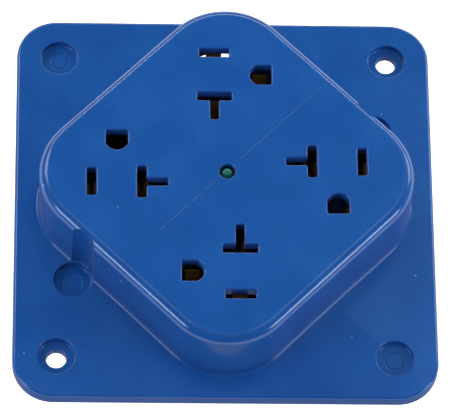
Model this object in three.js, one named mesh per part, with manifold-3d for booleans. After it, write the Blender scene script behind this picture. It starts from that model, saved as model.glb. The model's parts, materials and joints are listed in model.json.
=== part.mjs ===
// A four-way surge-suppressing receptacle for an outlet box: a square cover plate with a raised diamond
// dome that holds four 20 A receptacles round a pilot lamp, and a rear housing with screw terminals.
// Millimetres. +Z points out of the face, the origin is the centre of the rear housing's back.

import * as THREE from "three";
import { mergeVertices } from "three/addons/utils/BufferGeometryUtils.js";
import Module from "manifold-3d";

const wasm = await Module();
wasm.setup();

// ---- Driving dimensions ----

const GAP = 0.3; // clearance between neighbouring pieces
const ARC_STEPS = 6; // steps in a quarter of a large corner
const ROUND_STEPS = 16; // steps round a hole or a rod
const SMALL_STEPS = 12; // the same below SMALL_R
const SMALL_R = 3;
const RING_STEPS = 32; // steps round a large ring

const REAR_DEPTH = 24; // from the rear housing's back to the plate's back
const PLATE_SIDE = 108;
const PLATE_CORNER = 10.5;
const PLATE_EDGE = 4; // the plate's height at its edge
const PLATE_SLOPE = Math.tan(THREE.MathUtils.degToRad(2)); // rise of the plate's four facets
const PLATE_RIM = 3; // width of the flat rim behind the plate
const PLATE_RECESS = 1.2; // depth of the recess behind the plate

const DOME_HALF = 39; // from the dome's centre to each of its flat sides
const DOME_CORNER = 18.2;
const DOME_RISE = 19.6; // from the plate's edge to the dome's face
const DOME_ROUND = 2.2; // rounding of the rim of the dome's face
const DOME_WALL = 2.1;
const FACE_THICK = 3;
const MOUTH = { corner: 9, depth: 3 }; // the dome cavity's wider corners behind the plate
const SHIELD = { half: 3.8, out: [4.2, 5.2], depth: 14 }; // wall beyond each ground hole, under the face

const SCREW_SPACING = 85.73; // between the corner recesses, along X and along Y
const EAR_SPACING = 88.9; // between the two recesses beside the dome
const EAR_ANGLE = 29; // degrees from +X to the line through them
const RECESS_R = 4.75;
const RECESS_DEPTH = 2;
const MOUNT_HOLE_R = 2.6;

const SLOT_RADIUS = 28; // from the centre to the middle of a receptacle's two blades
const SLOT_OFFSET = -3.1; // sideways place of the blades
const BLADE_HALF_PITCH = 6.35;
const GROUND_OFFSET = 8.8; // sideways place of the ground hole
const SLOT_WIDTH = 2.4;
const HOT_LENGTH = 7.7;
const TEE_BAR = 8.9;
const TEE_LEG_WIDTH = 2.2;
const TEE_LEG = 5.5; // from the bar's edge to the leg's end
const GROUND_HALF = 2.8; // half the ground hole's width and depth
const GROUND_ARC_R = 3.15;
const SLOT_CHAMFER = 0.45; // round each slot
const LAMP_HOLE_R = 2.05;

const CASE_SCREW_OFFSET = 2; // sideways place of the case screws, at the slots' radius
const CASE_HOLE_R = 1.75;
const BOSS_R = 3.2;
const POST_R = 4.2; // foot of a boss in the rear housing
const COUNTERBORE = { radius: 3.1, depth: 2.8 }; // for a case screw's head
const RIB_HALF = 0.8; // half the thickness of a stiffening rib
const RIB_DEPTH = 6; // of the ribs under the dome's face
const BACK_RIB = 24; // from the centre to a straight rib behind the plate

const REAR_R = 38; // the rear body is a round with four flats
const REAR_FLAT = 34.5;
const REAR_WALL = 2.2;
const REAR_FLOOR = 2.4;
const FLANGE_R = 40;
const FLANGE_FLAT = 38.6;
const FLANGE_THICK = 2.2;
const CHAMBER_BACK = 22; // from the centre to the back wall of a terminal chamber
const CHAMBER_TOP = 20;
const CHAMBER_WALL = 1.6;

const CARRIER_R = 39.7;
const CARRIER_THICK = 3.1;
const CARRIER_DROP = 0.6; // how far the carrier stands out behind the plate
const BUS_THICK = 1.2;
const HOT_RING = [31.8, 36.2]; // inner and outer radius
const NEUTRAL_RING = [19.6, 24.2];
const GROUND_RING = [18.2, 22.8];
const FENCE_RING = [25, 26.4]; // the barrier between the hot and neutral rings
const FENCE_HEIGHT = 2.2;
const ARM_START = { hot: 33, neutral: 20.5, ground: 19.5 }; // where a bus's terminal arm leaves its ring

const TAB_FACE = 28; // from the centre to the outer face of a terminal tab
const TAB_THICK = 1.6;
const TAB_BOTTOM = 6.5;
const TERMINAL_Z = 12;
const TERMINAL_PITCH = 9.8; // between the two screws of a double terminal
const CLAMP = { width: 7.6, height: 8.4, thick: 1.4, grooveR: 0.6, groove: 3.1 };
const TERMINAL_SCREW = { headR: 3.9, head: 1.8, shankR: 2.1, shank: 7 };
const CASE_SCREW = { headR: 2.8, head: 2, shankR: 1.45, shank: 33.2 };
const BOARD_SCREW = { headR: 2, head: 1.2, shankR: 1, shank: 5.2 };
const DRIVER_SLOT = 0.5; // half the width of the slot in a screw's head

const LEAF_THICK = 0.6;
const BLADE_PINCH = 0.95; // from a contact's middle to its leaf at the narrowest place
const GROUND_PINCH = 2.3;
const CONTACT_TOP = 41.3;
const HOT_CONTACT_TOP = 44; // the hot leaves stand up to just behind the face
const FOOT_R = 1.1; // rivet under a blade contact
const FOOT_HOLE_R = 1.4;
const GROUND_TAIL = { halfX: 1.5, halfY: 0.5, inwards: 1.6 }; // tail of a ground contact, into the ground bus

const BOARD_Z = 18.4; // underside of the circuit board
const BOARD_THICK = 1.6;
const BOARD_HALF_WIDTH = 14;
const BOARD_ENDS = [-19.5, 29.5];
const LEAD_R = 0.4;
const LEAD_STEPS = 6;
const TAIL = 0.8; // how far leads and tabs stand out below the board
const BOARD_SCREWS = [
  [11, -9],
  [-11, 9],
];
const BOARD_HOLE_R = 1.3;
const BOARD_POST_R = 2.5;
const VARISTOR = { radius: 7, half: 2.5, drop: 8.4, pitch: 3.75 }; // drop is from the board to its centre
const FUSE = { radius: 1.9, length: 9, span: 13 };
const RESISTOR = { radius: 1.2, length: 6.3, span: 9 };
const DIODE = { radius: 1.3, length: 5, span: 9 };
const LED = { flangeR: 1.9, flange: 1, bodyR: 1.5, straight: 3.8, height: 5.3, pitch: 1.27 };
const LIGHT_PIPE = { flangeR: 2.8, flange: 1.4, rodR: 1.5, sunk: 0.5, nose: 0.9 };

// Where each bus reaches the board, in the board's own directions (u across, v along).
const BOARD_TABS = {
  hot: { u: [3.5, 6.5], v: [27.2, 28.2], arm: [27.2, 33] },
  neutral: { u: [-8.5, -5.5], v: [25.2, 26.2], arm: [22.5, 26.2] },
  ground: { u: [-1.5, 1.5], v: [-17.2, -16.2], arm: [-19, -16.2] },
};
const BOARD_PARTS = {
  mov_line_neutral: { at: [0, 16.5], turned: 0, leads: VARISTOR.pitch },
  mov_line_ground: { at: [0, 7.5], turned: 0, leads: VARISTOR.pitch },
  mov_neutral_ground: { at: [0, -3.5], turned: 0, leads: VARISTOR.pitch },
  thermal_fuse_line: { at: [0, 22.6], turned: 0, leads: FUSE.span / 2 },
  thermal_fuse_ground: { at: [0, -11], turned: 0, leads: FUSE.span / 2 },
  led_resistor: { at: [-10.6, -1], turned: 90, leads: RESISTOR.span / 2 },
  led_diode: { at: [10.6, 1.5], turned: 90, leads: DIODE.span / 2 },
  pilot_led: { at: [0, 0], turned: 0, leads: LED.pitch },
};

// ---- Levels and places worked out from them ----

const PLATE_BACK = REAR_DEPTH;
const PLATE_TOP = PLATE_BACK + PLATE_EDGE;
const FACE = PLATE_TOP + DOME_RISE;
const FACE_INSIDE = FACE - FACE_THICK;
const CAVITY_HALF = DOME_HALF - DOME_WALL;
const RECESS_FLOOR = PLATE_TOP + 0.4 - RECESS_DEPTH;
const CARRIER_Z = PLATE_BACK - CARRIER_DROP;
const CARRIER_TOP = CARRIER_Z + CARRIER_THICK;
const BUS_Z = CARRIER_TOP + GAP;
const GROUND_BUS_Z = CARRIER_Z - 0.4 - BUS_THICK;
const REAR_TOP = CARRIER_Z - GAP;
const BOARD_TOP = BOARD_Z + BOARD_THICK;
const HOT_Y = SLOT_RADIUS + BLADE_HALF_PITCH;
const NEUTRAL_Y = SLOT_RADIUS - BLADE_HALF_PITCH;
const EAR = new THREE.Vector2(EAR_SPACING / 2, 0).rotateAround(
  new THREE.Vector2(),
  THREE.MathUtils.degToRad(EAR_ANGLE),
);
const CORNER = SCREW_SPACING / 2;
const RECESSES = [
  { x: CORNER, y: CORNER, open: true },
  { x: -CORNER, y: -CORNER, open: true },
  { x: CORNER, y: -CORNER, open: false },
  { x: -CORNER, y: CORNER, open: false },
  { x: EAR.x, y: EAR.y, open: false },
  { x: -EAR.x, y: -EAR.y, open: false },
];
const SIDES = ["top", "right", "bottom", "left"]; // the receptacles, each a quarter turn clockwise
const TERMINALS = {
  hot: { angle: 45, places: [-TERMINAL_PITCH / 2, TERMINAL_PITCH / 2], half: 9.5 },
  neutral: { angle: 225, places: [-TERMINAL_PITCH / 2, TERMINAL_PITCH / 2], half: 9.5 },
  ground: { angle: 315, places: [0], half: 4.6 },
};

// ---- Shapes ----

// A geometry as a manifold-3d solid.
function solidOf(geometry) {
  const bare = geometry.clone();
  bare.deleteAttribute("normal");
  bare.deleteAttribute("uv");
  const merged = mergeVertices(bare, 1e-4);
  const vertProperties = merged.attributes.position.array;
  const triVerts = new Uint32Array(merged.index.array);
  return new wasm.Manifold(new wasm.Mesh({ numProp: 3, vertProperties, triVerts }));
}

// A manifold-3d solid as a geometry.
function geometryOf(solid) {
  const { vertProperties, triVerts } = solid.getMesh();
  const geometry = new THREE.BufferGeometry();
  geometry.setAttribute("position", new THREE.BufferAttribute(vertProperties, 3));
  geometry.setIndex(new THREE.BufferAttribute(triVerts, 1));
  return geometry;
}

function joined(...geometries) {
  return geometryOf(geometries.map(solidOf).reduce((whole, piece) => whole.add(piece)));
}

function cut(geometry, ...tools) {
  return geometryOf(tools.map(solidOf).reduce((left, tool) => left.subtract(tool), solidOf(geometry)));
}

function common(first, second) {
  return geometryOf(solidOf(first).intersect(solidOf(second)));
}

function box([x0, x1], [y0, y1], [z0, z1]) {
  const geometry = new THREE.BoxGeometry(x1 - x0, y1 - y0, z1 - z0);
  return geometry.translate((x0 + x1) / 2, (y0 + y1) / 2, (z0 + z1) / 2);
}

function stepsFor(radius) {
  return radius < SMALL_R ? SMALL_STEPS : ROUND_STEPS;
}

// A round rod along Z.
function rod(radius, [z0, z1], x = 0, y = 0, steps = stepsFor(radius)) {
  const geometry = new THREE.CylinderGeometry(radius, radius, z1 - z0, steps);
  return geometry.rotateX(Math.PI / 2).translate(x, y, (z0 + z1) / 2);
}

// A round rod along X.
function rodAlongX(radius, [x0, x1], y, z, steps = stepsFor(radius)) {
  return rod(radius, [x0, x1], 0, 0, steps).rotateY(Math.PI / 2).translate(0, y, z);
}

function prism(shape, [z0, z1], curveSegments = ARC_STEPS) {
  const geometry = new THREE.ExtrudeGeometry(shape, { depth: z1 - z0, bevelEnabled: false, curveSegments });
  return geometry.translate(0, 0, z0);
}

// A body of revolution about Z from a profile of [radius, z] pairs that starts and ends on the axis.
function turned(profile) {
  const points = profile.map(([radius, z]) => new THREE.Vector2(radius, z));
  return new THREE.LatheGeometry(points, SMALL_STEPS).rotateX(Math.PI / 2);
}

function turn(geometry, degrees) {
  return geometry.clone().rotateZ(THREE.MathUtils.degToRad(degrees));
}

// Copies of a shape drawn for the top receptacle, one for each receptacle.
function pinwheel(geometry) {
  return SIDES.map((side, index) => turn(geometry, -90 * index));
}

function roundedSquare(half, radius) {
  const middle = half - radius;
  const shape = new THREE.Shape();
  [[1, 1], [-1, 1], [-1, -1], [1, -1]].forEach(([x, y], quarter) => {
    const start = (quarter * Math.PI) / 2;
    shape.absarc(x * middle, y * middle, radius, start, start + Math.PI / 2, false);
  });
  return shape;
}

// A rounded square turned 45 degrees, drawn by the distance to its sides.
function diamond(half, radius, levels) {
  return turn(prism(roundedSquare(half, radius), levels), 45);
}

// A disc with a flat on each diagonal.
function flattedDisc(radius, flat, levels) {
  const shape = new THREE.Shape();
  const halfAngle = Math.acos(flat / radius);
  for (let quarter = 0; quarter < 4; quarter += 1) {
    const direction = Math.PI / 4 + (quarter * Math.PI) / 2;
    shape.absarc(0, 0, radius, direction + halfAngle, direction + Math.PI / 2 - halfAngle, false);
  }
  return prism(shape, levels, ARC_STEPS);
}

function ring([inner, outer], levels) {
  const shape = new THREE.Shape().absarc(0, 0, outer, 0, 2 * Math.PI, false);
  shape.holes.push(new THREE.Path().absarc(0, 0, inner, 0, 2 * Math.PI, true));
  return prism(shape, levels, RING_STEPS);
}

// The outline of a bent strip of even thickness along a centre line.
function stripShape(path, thickness) {
  const points = path.map(([x, y]) => new THREE.Vector2(x, y));
  const sides = [1, -1].map((side) =>
    points.map((point, index) => {
      const before = points[Math.max(index - 1, 0)];
      const after = points[Math.min(index + 1, points.length - 1)];
      const across = new THREE.Vector2(before.y - after.y, after.x - before.x).normalize();
      return point.clone().addScaledVector(across, (side * thickness) / 2);
    }),
  );
  return new THREE.Shape([...sides[0], ...sides[1].reverse()]);
}

// A prism of an upright outline (sideways, height), centred on Y, that runs from x0 to x1.
function uprightAlongX(shape, [x0, x1]) {
  return prism(shape, [x0, x1]).rotateX(Math.PI / 2).rotateZ(Math.PI / 2);
}

function uprightAlongY(shape, [y0, y1]) {
  return prism(shape, [-y1, -y0]).rotateX(Math.PI / 2);
}

// ---- Slots, drawn for the top receptacle, with the centre of the plate below it ----

function hotSlotShape() {
  const x = HOT_LENGTH / 2;
  const y = SLOT_WIDTH / 2;
  return polygon([[-x, -y], [x, -y], [x, y], [-x, y]], SLOT_OFFSET, HOT_Y);
}

function teeSlotShape() {
  const x = TEE_BAR / 2;
  const y = SLOT_WIDTH / 2;
  const legX = TEE_LEG_WIDTH / 2;
  const legY = -y - TEE_LEG;
  const outline = [[-legX, legY], [legX, legY], [legX, -y], [x, -y], [x, y], [-x, y], [-x, -y], [-legX, -y]];
  return polygon(outline, SLOT_OFFSET, NEUTRAL_Y);
}

// D-shaped: flat on the side away from the blades.
function groundSlotShape() {
  const centreX = GROUND_OFFSET - GROUND_HALF + GROUND_ARC_R;
  const reach = Math.PI - Math.asin(GROUND_HALF / GROUND_ARC_R);
  const flatX = GROUND_OFFSET + GROUND_HALF;
  const shape = new THREE.Shape();
  shape.moveTo(flatX, SLOT_RADIUS - GROUND_HALF);
  shape.lineTo(flatX, SLOT_RADIUS + GROUND_HALF);
  shape.absarc(centreX, SLOT_RADIUS, GROUND_ARC_R, reach, 2 * Math.PI - reach, false);
  return shape;
}

function polygon(points, x, y) {
  return new THREE.Shape(points.map(([px, py]) => new THREE.Vector2(px + x, py + y)));
}

// A cutter for one slot: straight through the face, wider at the mouth.
function slotCutter(shape) {
  const chamfer = { bevelThickness: SLOT_CHAMFER, bevelSize: SLOT_CHAMFER, bevelSegments: 1 };
  const options = { depth: 1, curveSegments: 6, ...chamfer };
  const mouth = new THREE.ExtrudeGeometry(shape, options).translate(0, 0, FACE);
  return joined(prism(shape, [FACE_INSIDE - 1, FACE], 6), mouth);
}

// ---- Housings ----

// The plate: straight edges under four shallow facets that rise towards the dome.
function plateBody() {
  const outline = roundedSquare(PLATE_SIDE / 2, PLATE_CORNER);
  const base = PLATE_TOP - 0.5;
  const half = PLATE_SIDE / 2 + 0.5 / PLATE_SLOPE;
  const pyramid = new THREE.ConeGeometry(half * Math.SQRT2, half * PLATE_SLOPE, 4);
  pyramid.rotateX(Math.PI / 2).rotateZ(Math.PI / 4);
  pyramid.translate(0, 0, base + (half * PLATE_SLOPE) / 2);
  const facets = common(pyramid, prism(outline, [base, PLATE_TOP + 5]));
  return joined(prism(outline, [PLATE_BACK, base + 0.2]), facets);
}

function domeBody() {
  const outline = roundedSquare(DOME_HALF - DOME_ROUND, DOME_CORNER - DOME_ROUND);
  const bottom = PLATE_BACK + DOME_ROUND + 0.2;
  const options = {
    depth: FACE - DOME_ROUND - bottom,
    bevelThickness: DOME_ROUND,
    bevelSize: DOME_ROUND,
    bevelSegments: 2,
    curveSegments: ARC_STEPS,
  };
  return turn(new THREE.ExtrudeGeometry(outline, options).translate(0, 0, bottom), 45);
}

// The shallow recess behind the plate. Left standing in it: the dome's seat, the screw bosses and ribs.
function plateRecess() {
  const levels = [PLATE_BACK - 1, PLATE_BACK + PLATE_RECESS];
  const standing = [PLATE_BACK - 2, PLATE_BACK + PLATE_RECESS + 1];
  const inner = PLATE_SIDE / 2 - PLATE_RIM;
  const field = prism(roundedSquare(inner, PLATE_CORNER - PLATE_RIM), levels);
  const seat = diamond(CAVITY_HALF + 3.6, DOME_CORNER + 1.5, standing);
  const bosses = RECESSES.map(({ x, y }) => rod(RECESS_R + 1.8, standing, x, y));
  const ribs = [];
  for (let quarter = 0; quarter < 4; quarter += 1) {
    const diagonal = box([CAVITY_HALF, PLATE_SIDE / Math.SQRT2], [-RIB_HALF, RIB_HALF], standing);
    ribs.push(turn(diagonal, 45 + 90 * quarter));
    for (const place of [-BACK_RIB, BACK_RIB]) {
      const straight = box([30, inner + 1], [place - RIB_HALF, place + RIB_HALF], standing);
      ribs.push(turn(straight, 90 * quarter));
    }
  }
  return cut(field, seat, ...bosses, ...ribs);
}

function domeCavity() {
  return diamond(CAVITY_HALF, DOME_CORNER - DOME_WALL, [PLATE_BACK - 1, FACE_INSIDE]);
}

function cavityMouth() {
  return diamond(CAVITY_HALF, MOUTH.corner, [PLATE_BACK - 1, PLATE_BACK + MOUTH.depth]);
}

// Screw bosses, ground hole shields, the lamp tube and stiffening ribs under the dome's face.
function domeInside() {
  const roots = FACE_INSIDE + 0.5;
  const bosses = pinwheel(rod(BOSS_R, [CARRIER_TOP + GAP, roots], CASE_SCREW_OFFSET, SLOT_RADIUS));
  const tube = rod(LAMP_HOLE_R + 1.5, [CARRIER_TOP + 2.1, roots]);
  const reach = [LAMP_HOLE_R + 0.9, CAVITY_HALF + 0.5];
  const rib = box(reach, [-RIB_HALF, RIB_HALF], [FACE_INSIDE - RIB_DEPTH, roots]);
  const ribs = [45, 135, 225, 315].map((angle) => turn(rib, angle));
  const shieldX = [GROUND_OFFSET - SHIELD.half, GROUND_OFFSET + SHIELD.half];
  const shieldY = SHIELD.out.map((y) => SLOT_RADIUS + y);
  const shields = pinwheel(box(shieldX, shieldY, [FACE_INSIDE - SHIELD.depth, roots]));
  return joined(...bosses, tube, ...ribs, ...shields);
}

// A recess in the plate's surface and the hole through it, or the knock-out bore behind it.
function recessCutters({ x, y, open }) {
  const bore = open ? [PLATE_BACK - 1, RECESS_FLOOR + 1] : [PLATE_BACK - 1, RECESS_FLOOR - 1];
  return [rod(RECESS_R, [RECESS_FLOOR, FACE + 1], x, y), rod(MOUNT_HOLE_R, bore, x, y)];
}

function frontHousing() {
  const shell = cut(joined(plateBody(), domeBody()), domeCavity(), cavityMouth(), plateRecess());
  const slots = [hotSlotShape(), teeSlotShape(), groundSlotShape()].map(slotCutter).flatMap(pinwheel);
  const screwHole = rod(CASE_HOLE_R, [PLATE_BACK, CARRIER_TOP + 12], CASE_SCREW_OFFSET, SLOT_RADIUS);
  const lampHole = rod(LAMP_HOLE_R, [PLATE_BACK, FACE + 1]);
  const recesses = RECESSES.flatMap(recessCutters);
  return cut(joined(shell, domeInside()), ...slots, ...pinwheel(screwHole), lampHole, ...recesses);
}

// The block that carries one terminal's chamber, and the chamber cut into it. +X is outwards.
function chamberBlock({ angle, half }) {
  const wall = half + CHAMBER_WALL + 1.5;
  const block = box([CHAMBER_BACK - CHAMBER_WALL, REAR_FLAT - 1], [-wall, wall], [0, CHAMBER_TOP + 1.4]);
  return turn(block, angle);
}

function chamberCut({ angle, half, places }) {
  const inside = half + 1.5;
  const hollow = box([CHAMBER_BACK, FLANGE_R], [-inside, inside], [-1, CHAMBER_TOP]);
  const ribPlaces = places.length > 1 ? [-inside + 0.6, 0, inside - 0.6] : [-inside + 0.6, inside - 0.6];
  const backRibs = ribPlaces.map((y) =>
    box([CHAMBER_BACK - 1, TAB_FACE - TAB_THICK - GAP], [y - 0.6, y + 0.6], [REAR_FLOOR, CHAMBER_TOP + 1]),
  );
  const fin = box([TAB_FACE + GAP, REAR_FLAT - 0.6], [-0.5, 0.5], [1, CHAMBER_TOP + 1]);
  const kept = places.length > 1 ? [...backRibs, fin] : backRibs;
  return turn(cut(hollow, ...kept), angle);
}

function tabSlot({ angle, half }, levels) {
  return turn(box([TAB_FACE - TAB_THICK - GAP, TAB_FACE + GAP], [-half - GAP, half + GAP], levels), angle);
}

function rearHousing() {
  const terminals = Object.values(TERMINALS);
  const flange = flattedDisc(FLANGE_R, FLANGE_FLAT, [REAR_TOP - FLANGE_THICK, REAR_TOP]);
  const outer = joined(flattedDisc(REAR_R, REAR_FLAT, [0, REAR_TOP]), flange);
  const posts = [
    ...pinwheel(rod(POST_R, [0, 6], CASE_SCREW_OFFSET, SLOT_RADIUS)),
    ...pinwheel(rod(BOSS_R, [0, REAR_TOP], CASE_SCREW_OFFSET, SLOT_RADIUS)),
  ];
  const cavity = flattedDisc(REAR_R - REAR_WALL, REAR_FLAT - REAR_WALL, [REAR_FLOOR, REAR_TOP + 1]);
  const hollow = cut(cavity, ...posts, ...terminals.map(chamberBlock));
  const screwHoles = [
    ...pinwheel(rod(CASE_HOLE_R, [-1, REAR_TOP + 1], CASE_SCREW_OFFSET, SLOT_RADIUS)),
    ...pinwheel(rod(COUNTERBORE.radius, [-1, COUNTERBORE.depth], CASE_SCREW_OFFSET, SLOT_RADIUS)),
  ];
  const tabSlots = terminals.map((terminal) => tabSlot(terminal, [CHAMBER_TOP - 1, CHAMBER_TOP + 2]));
  return cut(outer, hollow, ...terminals.map(chamberCut), ...screwHoles, ...tabSlots);
}

// ---- Carrier and buses ----

function grown([low, high]) {
  return [low - GAP, high + GAP];
}

function boardTabSlot({ u, v }, levels) {
  return turn(box(grown(u), grown(v), levels), 45);
}

function groundTail(widening, levels) {
  const { halfX, halfY, inwards } = GROUND_TAIL;
  const tail = box([-halfX - widening, halfX + widening], [-halfY - widening, halfY + widening], levels);
  return tail.translate(GROUND_OFFSET, SLOT_RADIUS - inwards, 0);
}

function contactCarrier() {
  const through = [CARRIER_Z - 1, CARRIER_TOP + 1];
  const plate = flattedDisc(CARRIER_R, CAVITY_HALF - 0.4, [CARRIER_Z, CARRIER_TOP]);
  const posts = BOARD_SCREWS.map(([u, v]) =>
    turn(rod(BOARD_POST_R, [BOARD_TOP + GAP, CARRIER_Z + 1], u, v), 45),
  );
  const fence = ring(FENCE_RING, [CARRIER_Z + 1, CARRIER_TOP + FENCE_HEIGHT]);
  const bossClearance = pinwheel(rod(BOSS_R + GAP, [CARRIER_TOP, FACE], CASE_SCREW_OFFSET, SLOT_RADIUS));
  const across = TERMINALS.neutral.half + GAP;
  const armClearance = [
    turn(box([20, 30], [-across, across], [CARRIER_TOP, FACE]), TERMINALS.neutral.angle),
    turn(box(grown(BOARD_TABS.neutral.u), [20, 30], [CARRIER_TOP, FACE]), 45),
  ];
  const barrier = cut(fence, ...bossClearance, ...armClearance, ...groundRoom([CARRIER_TOP, FACE]));
  const openings = [
    rod(LIGHT_PIPE.rodR + 0.7, through),
    ...pinwheel(rod(CASE_HOLE_R, through, CASE_SCREW_OFFSET, SLOT_RADIUS)),
    ...pinwheel(groundTail(GAP, through)),
    tabSlot(TERMINALS.hot, through),
    tabSlot(TERMINALS.neutral, through),
    boardTabSlot(BOARD_TABS.hot, through),
    boardTabSlot(BOARD_TABS.neutral, through),
    ...BOARD_SCREWS.map(([u, v]) => turn(rod(BOARD_HOLE_R, [BOARD_TOP, CARRIER_Z], u, v), 45)),
  ];
  return cut(joined(plate, ...posts, barrier), ...openings);
}

function terminalArm({ angle, half, places }, start, levels) {
  const inner = TAB_FACE - TAB_THICK;
  const arm = box([Math.min(start, inner), Math.max(start, TAB_FACE)], [-half, half], levels);
  const tab = box([inner, TAB_FACE], [-half, half], [TAB_BOTTOM, levels[1]]);
  const holeR = TERMINAL_SCREW.shankR + GAP;
  const holes = places.map((y) => rodAlongX(holeR, [inner - 1, TAB_FACE + 1], y, TERMINAL_Z));
  return turn(cut(joined(arm, tab), ...holes), angle);
}

function boardArm({ u, v, arm }, levels) {
  return turn(joined(box(u, arm, levels), box(u, v, [BOARD_Z - TAIL, levels[1]])), 45);
}

// A ring with an arm to its screw terminal and one to the board, and holes for the contacts' feet.
function bus(name, radii, bottom, feet) {
  const levels = [bottom, bottom + BUS_THICK];
  const arms = [terminalArm(TERMINALS[name], ARM_START[name], levels), boardArm(BOARD_TABS[name], levels)];
  return cut(joined(ring(radii, levels), ...arms), ...feet);
}

function footHoles(y) {
  return pinwheel(rod(FOOT_HOLE_R, [BUS_Z - 1, BUS_Z + BUS_THICK + 1], SLOT_OFFSET, y, LEAD_STEPS));
}

// Room for the ground contacts beside the hot ring and above the carrier.
function groundRoom(levels) {
  const reach = GROUND_PINCH + 1.3;
  const y = [SLOT_RADIUS - reach, SLOT_RADIUS + reach];
  return pinwheel(box([GROUND_OFFSET - 2.3, GROUND_OFFSET + 2.3], y, levels));
}

function hotBus() {
  const room = groundRoom([BUS_Z - 1, BUS_Z + BUS_THICK + 1]);
  return bus("hot", HOT_RING, BUS_Z, [...footHoles(HOT_Y), ...room]);
}

function groundSpokes(levels) {
  const reach = Math.hypot(GROUND_OFFSET, SLOT_RADIUS);
  const angle = THREE.MathUtils.radToDeg(Math.atan2(SLOT_RADIUS, GROUND_OFFSET));
  return pinwheel(turn(box([GROUND_RING[0] + 1, reach + 2.2], [-2.2, 2.2], levels), angle));
}

function groundBus() {
  const levels = [GROUND_BUS_Z, GROUND_BUS_Z + BUS_THICK];
  const body = bus("ground", GROUND_RING, GROUND_BUS_Z, []);
  const tails = pinwheel(groundTail(GAP, [GROUND_BUS_Z - 1, GROUND_BUS_Z + BUS_THICK + 1]));
  return cut(joined(body, ...groundSpokes(levels)), ...tails);
}

// ---- Contacts, drawn for the top receptacle ----

// The profile of one spring leaf: up from the foot, in to the pinch, out to the lead-in. Sideways is x.
function leafPath(side, pinch, height) {
  const foot = LEAF_THICK / 2;
  return [
    [0, foot],
    [side * (pinch + 0.2), foot],
    [side * (pinch + 0.7), foot + 0.8],
    [side * (pinch + 0.4), height - 6],
    [side * pinch, height - 2.4],
    [side * (pinch + 0.9), height],
  ];
}

function leaf(side, pinch, height) {
  return stripShape(leafPath(side, pinch, height), LEAF_THICK);
}

function contactFoot(y) {
  return rod(FOOT_R, [BUS_Z + 0.1, BUS_Z + BUS_THICK + GAP + 0.3], SLOT_OFFSET, y, LEAD_STEPS);
}

function hotContact() {
  const bottom = BUS_Z + BUS_THICK + GAP;
  const leaves = [1, -1].map((side) => {
    const blade = uprightAlongX(leaf(side, BLADE_PINCH, HOT_CONTACT_TOP - bottom), [-2, 2]);
    return blade.translate(SLOT_OFFSET, HOT_Y, bottom);
  });
  return joined(...leaves, contactFoot(HOT_Y));
}

function neutralContact() {
  const bottom = BUS_Z + BUS_THICK + GAP;
  const height = CONTACT_TOP - bottom;
  const base = box([-3.6, 3.6], [-6.4, 1.2], [0, LEAF_THICK]);
  const outer = uprightAlongX(leaf(1, BLADE_PINCH, height), [-3.4, 3.4]);
  const innerLeaf = leaf(-1, BLADE_PINCH, height);
  const inner = [[-3.6, -1.8], [1.8, 3.6]].map((reach) => uprightAlongX(innerLeaf, reach));
  const legs = [1, -1].map((side) => uprightAlongY(leaf(side, BLADE_PINCH, height), [-6.4, -2.8]));
  const clip = joined(base, outer, ...inner, ...legs).translate(SLOT_OFFSET, NEUTRAL_Y, bottom);
  return joined(clip, contactFoot(NEUTRAL_Y));
}

function groundContact() {
  const leaves = [1, -1].map((side) => {
    const blade = uprightAlongX(leaf(side, GROUND_PINCH, CONTACT_TOP - BUS_Z), [-1.9, 1.9]);
    return blade.translate(GROUND_OFFSET, SLOT_RADIUS, BUS_Z);
  });
  return joined(...leaves, groundTail(0, [GROUND_BUS_Z, BUS_Z + 0.3]));
}

// ---- Screws and clamps ----

// A screw along Z with its head's underside at 0 and a driver slot in the head.
function slottedScrew({ headR, head, shankR, shank }) {
  const body = turned([
    [0, -shank],
    [shankR * 0.85, -shank],
    [shankR, -shank + 0.5],
    [shankR, 0],
    [headR, 0],
    [headR, head * 0.6],
    [headR * 0.7, head],
    [0, head],
  ]);
  return cut(body, box([-headR - 1, headR + 1], [-DRIVER_SLOT, DRIVER_SLOT], [head * 0.5, head + 1]));
}

// A captive clamp plate, +X outwards, with a wire groove on each side of its hole.
function clampPlate() {
  const { width, height, thick, grooveR, groove } = CLAMP;
  const plate = box([0, thick], [-width / 2, width / 2], [-height / 2, height / 2]);
  const hole = rodAlongX(TERMINAL_SCREW.shankR + GAP, [-1, thick + 1], 0, 0);
  const grooves = [-groove, groove].map((y) => rod(grooveR, [-height, height], -grooveR / 2, y));
  return cut(plate, hole, ...grooves);
}

// ---- Pilot lamp and surge board ----

function lightPipe() {
  const { flangeR, flange, rodR, sunk, nose } = LIGHT_PIPE;
  const foot = CARRIER_TOP + GAP;
  const tip = FACE - sunk;
  return turned([
    [0, foot],
    [flangeR, foot],
    [flangeR, foot + flange],
    [rodR, foot + flange],
    [rodR, tip - nose],
    [rodR * 0.87, tip - nose * 0.5],
    [rodR * 0.53, tip - nose * 0.13],
    [0, tip],
  ]);
}

function pilotLed() {
  const { flangeR, flange, bodyR, straight, height, pitch } = LED;
  const base = BOARD_TOP + GAP;
  const body = turned([
    [0, base],
    [flangeR, base],
    [flangeR, base + flange],
    [bodyR, base + flange],
    [bodyR, base + straight],
    [bodyR * Math.SQRT1_2, base + straight + (height - straight) * Math.SQRT1_2],
    [0, base + height],
  ]);
  const leads = [-pitch, pitch].map((u) => rod(LEAD_R, [BOARD_Z - TAIL, base + 0.5], u, 0, LEAD_STEPS));
  return joined(body, ...leads);
}

function upLeads(places, from) {
  return places.map(([u, v]) => rod(LEAD_R, [from, BOARD_TOP + 0.6], u, v, LEAD_STEPS));
}

function varistor() {
  const { radius, half, drop, pitch } = VARISTOR;
  const disc = rod(radius, [-half, half]).rotateX(Math.PI / 2).translate(0, 0, BOARD_Z - drop);
  return joined(disc, ...upLeads([[-pitch, 0], [pitch, 0]], BOARD_Z - 5));
}

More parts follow.
